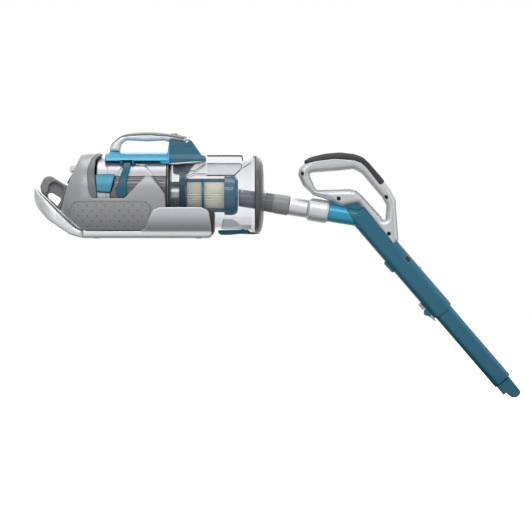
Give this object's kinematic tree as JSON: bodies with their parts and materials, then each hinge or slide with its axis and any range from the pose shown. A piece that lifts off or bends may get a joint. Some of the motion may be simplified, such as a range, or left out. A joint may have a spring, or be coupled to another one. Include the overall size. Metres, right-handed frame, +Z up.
{
  "type": "cordless canister vacuum with telescoping wand",
  "caption": "Cordless hand-carried canister vacuum: clear dust cup, pleated filter, carry handle and a swivelling telescopic wand with a loop grip.",
  "frame": {"origin": "on the flat base, in the middle plane, under the front third of the handle rail", "axes": "+X from the body towards the wand, +Z up from the flat base, -Y the near side"},
  "size_m": [0.973, 0.172, 0.5296],
  "materials": {
    "grey_shell": "satin moulded ABS",
    "silver_plastic": "satin silver paint on moulded plastic",
    "blue_plastic": "satin moulded ABS",
    "dark_plastic": "fine-grained moulded plastic",
    "soft_grip_grey": "soft-touch overmould",
    "soft_grip_black": "soft-touch overmould, ribbed",
    "clear_plastic": "clear moulded polycarbonate",
    "seal_rubber": "matt",
    "filter_paper": "pleated paper",
    "steel": "bright",
    "copper_winding": "lacquered wire",
    "board_green": "solder mask",
    "cell_sleeve": "heat-shrink sleeve"
  },
  "bodies": {
    "canister": {"lower_cradle": "silver_plastic", "rear_bow": "silver_plastic", "rear_grip_loop": "dark_plastic", "rear_vent_grille": "dark_plastic", "charge_socket": "silver_plastic", "body_shell_near": "grey_shell", "body_shell_far": "grey_shell", "exhaust_panel_near": "grey_shell", "exhaust_panel_far": "grey_shell", "shell_rim": "dark_plastic", "motor_pod": "silver_plastic", "pod_front_plate": "dark_plastic", "premotor_grille": "dark_plastic", "handle_base": "blue_plastic", "carry_grip": "silver_plastic", "carry_grip_overmold": "soft_grip_grey", "button_spring_near": "steel", "button_spring_far": "steel", "latch_pins": "steel", "base_feet": "seal_rubber", "cradle_screws": "steel", "battery_cells": "cell_sleeve", "battery_tray": "dark_plastic", "circuit_board": "board_green", "motor_can": "steel", "motor_stator": "copper_winding", "motor_bearings": "steel", "fan_housing": "dark_plastic", "cup_seal": "seal_rubber", "cup_cradle_ring": "dark_plastic"},
    "power_switch": {"power_switch": "dark_plastic"},
    "release_button_near": {"release_button_near": "blue_plastic"},
    "release_button_far": {"release_button_far": "blue_plastic"},
    "side_latch_near": {"side_latch_near": "blue_plastic"},
    "side_latch_far": {"side_latch_far": "blue_plastic"},
    "rotor": {"motor_rotor": "steel", "fan_impeller": "grey_shell"},
    "filter": {"filter_frame": "blue_plastic", "pleated_filter": "filter_paper", "filter_end_cap": "blue_plastic"},
    "cup": {"dust_cup": "clear_plastic", "inner_duct": "clear_plastic", "latch_housing": "grey_shell", "cup_latch_pin": "steel", "door_hinge_pin": "steel"},
    "cup_latch": {"cup_latch": "blue_plastic"},
    "door": {"door_panel": "clear_plastic", "door_seal": "seal_rubber", "inlet_tube": "dark_plastic", "hose_cuff": "grey_shell"},
    "wand": {"swivel_cuff": "silver_plastic", "swivel_collar": "silver_plastic", "wand_tube": "blue_plastic", "wand_handle_near": "silver_plastic", "wand_handle_far": "silver_plastic", "wand_handle_overmold": "soft_grip_black", "handle_screws": "steel"},
    "telescope": {"inner_tube": "blue_plastic"},
    "tele_lock": {"tele_lock": "grey_shell"},
    "crevice_tip": {"crevice_tool": "blue_plastic"}
  },
  "joints": [
    {"name": "power_switch_slide", "type": "slide", "parent": "canister", "child": "power_switch", "axis": [1, 0, 0], "range_m": [0, 0.005]},
    {"name": "release_button_near_press", "type": "slide", "parent": "canister", "child": "release_button_near", "axis": [0, 1, 0], "range_m": [0, 0.003], "stiffness_N_per_m": 900, "deforming": ["button_spring_near"]},
    {"name": "release_button_far_press", "type": "slide", "parent": "canister", "child": "release_button_far", "axis": [0, -1, 0], "range_m": [0, 0.003], "stiffness_N_per_m": 900, "deforming": ["button_spring_far"]},
    {"name": "side_latch_near_swing", "type": "hinge", "parent": "canister", "child": "side_latch_near", "pos_m": [-0.023, -0.0505, 0.15], "axis": [-1, 0, 0], "range_deg": [0, 30]},
    {"name": "side_latch_far_swing", "type": "hinge", "parent": "canister", "child": "side_latch_far", "pos_m": [-0.023, 0.0505, 0.15], "axis": [1, 0, 0], "range_deg": [0, 30]},
    {"name": "rotor_spin", "type": "hinge", "parent": "canister", "child": "rotor", "pos_m": [0, 0, 0.086], "axis": [1, 0, 0], "continuous": true},
    {"name": "filter_twist", "type": "hinge", "parent": "canister", "child": "filter", "pos_m": [0.079, 0, 0.086], "axis": [1, 0, 0], "range_deg": [0, 30]},
    {"name": "cup_slide", "type": "slide", "parent": "canister", "child": "cup", "axis": [1, 0, 0], "range_m": [0, 0.06]},
    {"name": "cup_latch_press", "type": "hinge", "parent": "cup", "child": "cup_latch", "pos_m": [0.205, 0, 0.0225], "axis": [0, 1, 0], "range_deg": [0, 8], "stiffness_Nm_per_rad": 2},
    {"name": "door_swing", "type": "hinge", "parent": "cup", "child": "door", "pos_m": [0.229, 0, 0.1625], "axis": [0, -1, 0], "range_deg": [0, 75]},
    {"name": "wand_swivel", "type": "hinge", "parent": "door", "child": "wand", "pos_m": [0.29798, 0, 0.06516], "axis": [0.9869, 0, -0.1616], "continuous": true},
    {"name": "telescope_slide", "type": "slide", "parent": "wand", "child": "telescope", "axis": [0.6521, 0, -0.7581], "range_m": [-0.15, 0]},
    {"name": "tele_lock_slide", "type": "slide", "parent": "wand", "child": "tele_lock", "axis": [-0.6521, 0, 0.7581], "range_m": [0, 0.006], "stiffness_N_per_m": 400},
    {"name": "crevice_pull", "type": "slide", "parent": "telescope", "child": "crevice_tip", "axis": [0.6521, 0, -0.7581], "range_m": [0, 0.03]}
  ]
}
